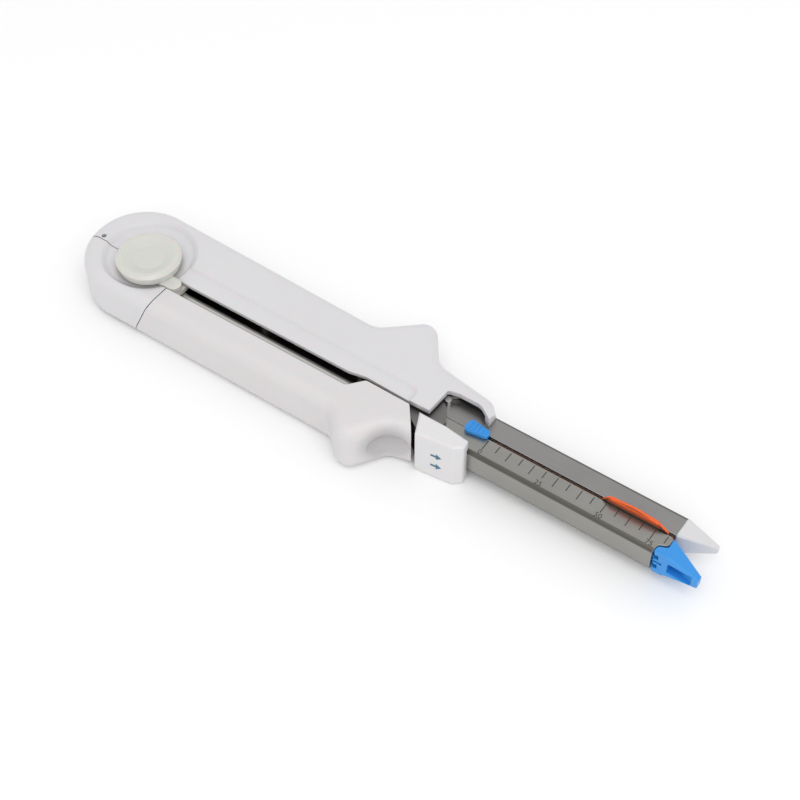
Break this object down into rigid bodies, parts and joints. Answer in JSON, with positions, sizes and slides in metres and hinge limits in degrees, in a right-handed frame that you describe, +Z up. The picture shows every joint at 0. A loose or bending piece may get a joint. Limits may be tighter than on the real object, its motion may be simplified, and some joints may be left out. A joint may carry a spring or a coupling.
{
  "type": "linear cutter stapler",
  "caption": "Surgical linear cutter stapler with hinged jaws, hook-latching lever, sliding firing knob with knife and cam bars, sliding reload and retaining cap.",
  "frame": {"origin": "on the resting plane, under the middle of the whole stapler", "axes": "+X from the rear of the handle to the jaw tips, +Y towards the anvil half, +Z up, away from the resting plane"},
  "size_m": [0.282, 0.0652, 0.0272],
  "materials": {
    "white_plastic": "satin moulded",
    "lever_plastic": "satin moulded",
    "knob_plastic": "satin moulded, slightly cream",
    "dark_plastic": "matt",
    "blue_plastic": "semi-gloss moulded",
    "orange_plastic": "semi-gloss moulded",
    "steel": "brushed",
    "titanium": "drawn wire"
  },
  "bodies": {
    "cartridge_half": {"cartridge_channel": "steel", "rear_housing": "white_plastic", "front_cover": "white_plastic", "bar_guide": "dark_plastic", "pivot_pin": "steel", "housing_screws": "steel", "cover_rivets": "steel"},
    "anvil_half": {"anvil_shell": "white_plastic", "anvil_channel": "steel", "anvil_plate": "steel", "anvil_tip": "white_plastic", "latch_pin": "steel", "rear_pin": "steel", "anvil_pins": "steel"},
    "locking_lever": {"lever_shell": "lever_plastic", "hook_plate_top": "steel", "hook_plate_bottom": "steel", "lever_rivets": "steel"},
    "firing_slide": {"slide_block": "steel", "knob_arm": "knob_plastic", "firing_knob": "knob_plastic", "cam_bar_top": "steel", "cam_bar_bottom": "steel", "knife": "steel", "slide_pin": "steel"},
    "reload": {"cartridge_body": "blue_plastic", "staple_drivers": "white_plastic", "staples": "titanium"},
    "cap": {"retaining_cap": "orange_plastic"}
  },
  "joints": [
    {"name": "lever_open", "type": "hinge", "parent": "cartridge_half", "child": "locking_lever", "pos_m": [0.02895, -0.012, 0.011], "axis": [0, 0, 1], "range_deg": [0, 50]},
    {"name": "anvil_open", "type": "hinge", "parent": "cartridge_half", "child": "anvil_half", "pos_m": [-0.13455, -0.0046, 0.011], "axis": [0, 0, 1], "range_deg": [0, 4]},
    {"name": "firing_stroke", "type": "slide", "parent": "cartridge_half", "child": "firing_slide", "axis": [1, 0, 0], "range_m": [0, 0.08]},
    {"name": "cartridge_slide", "type": "slide", "parent": "cartridge_half", "child": "reload", "axis": [1, 0, 0], "range_m": [0, 0.095]},
    {"name": "cap_slide", "type": "slide", "parent": "reload", "child": "cap", "axis": [0, 0, 1], "range_m": [0, 0.02]}
  ],
  "couplings": [
    {"joint": "anvil_open", "follows": "lever_open", "ratio": 0.08}
  ]
}
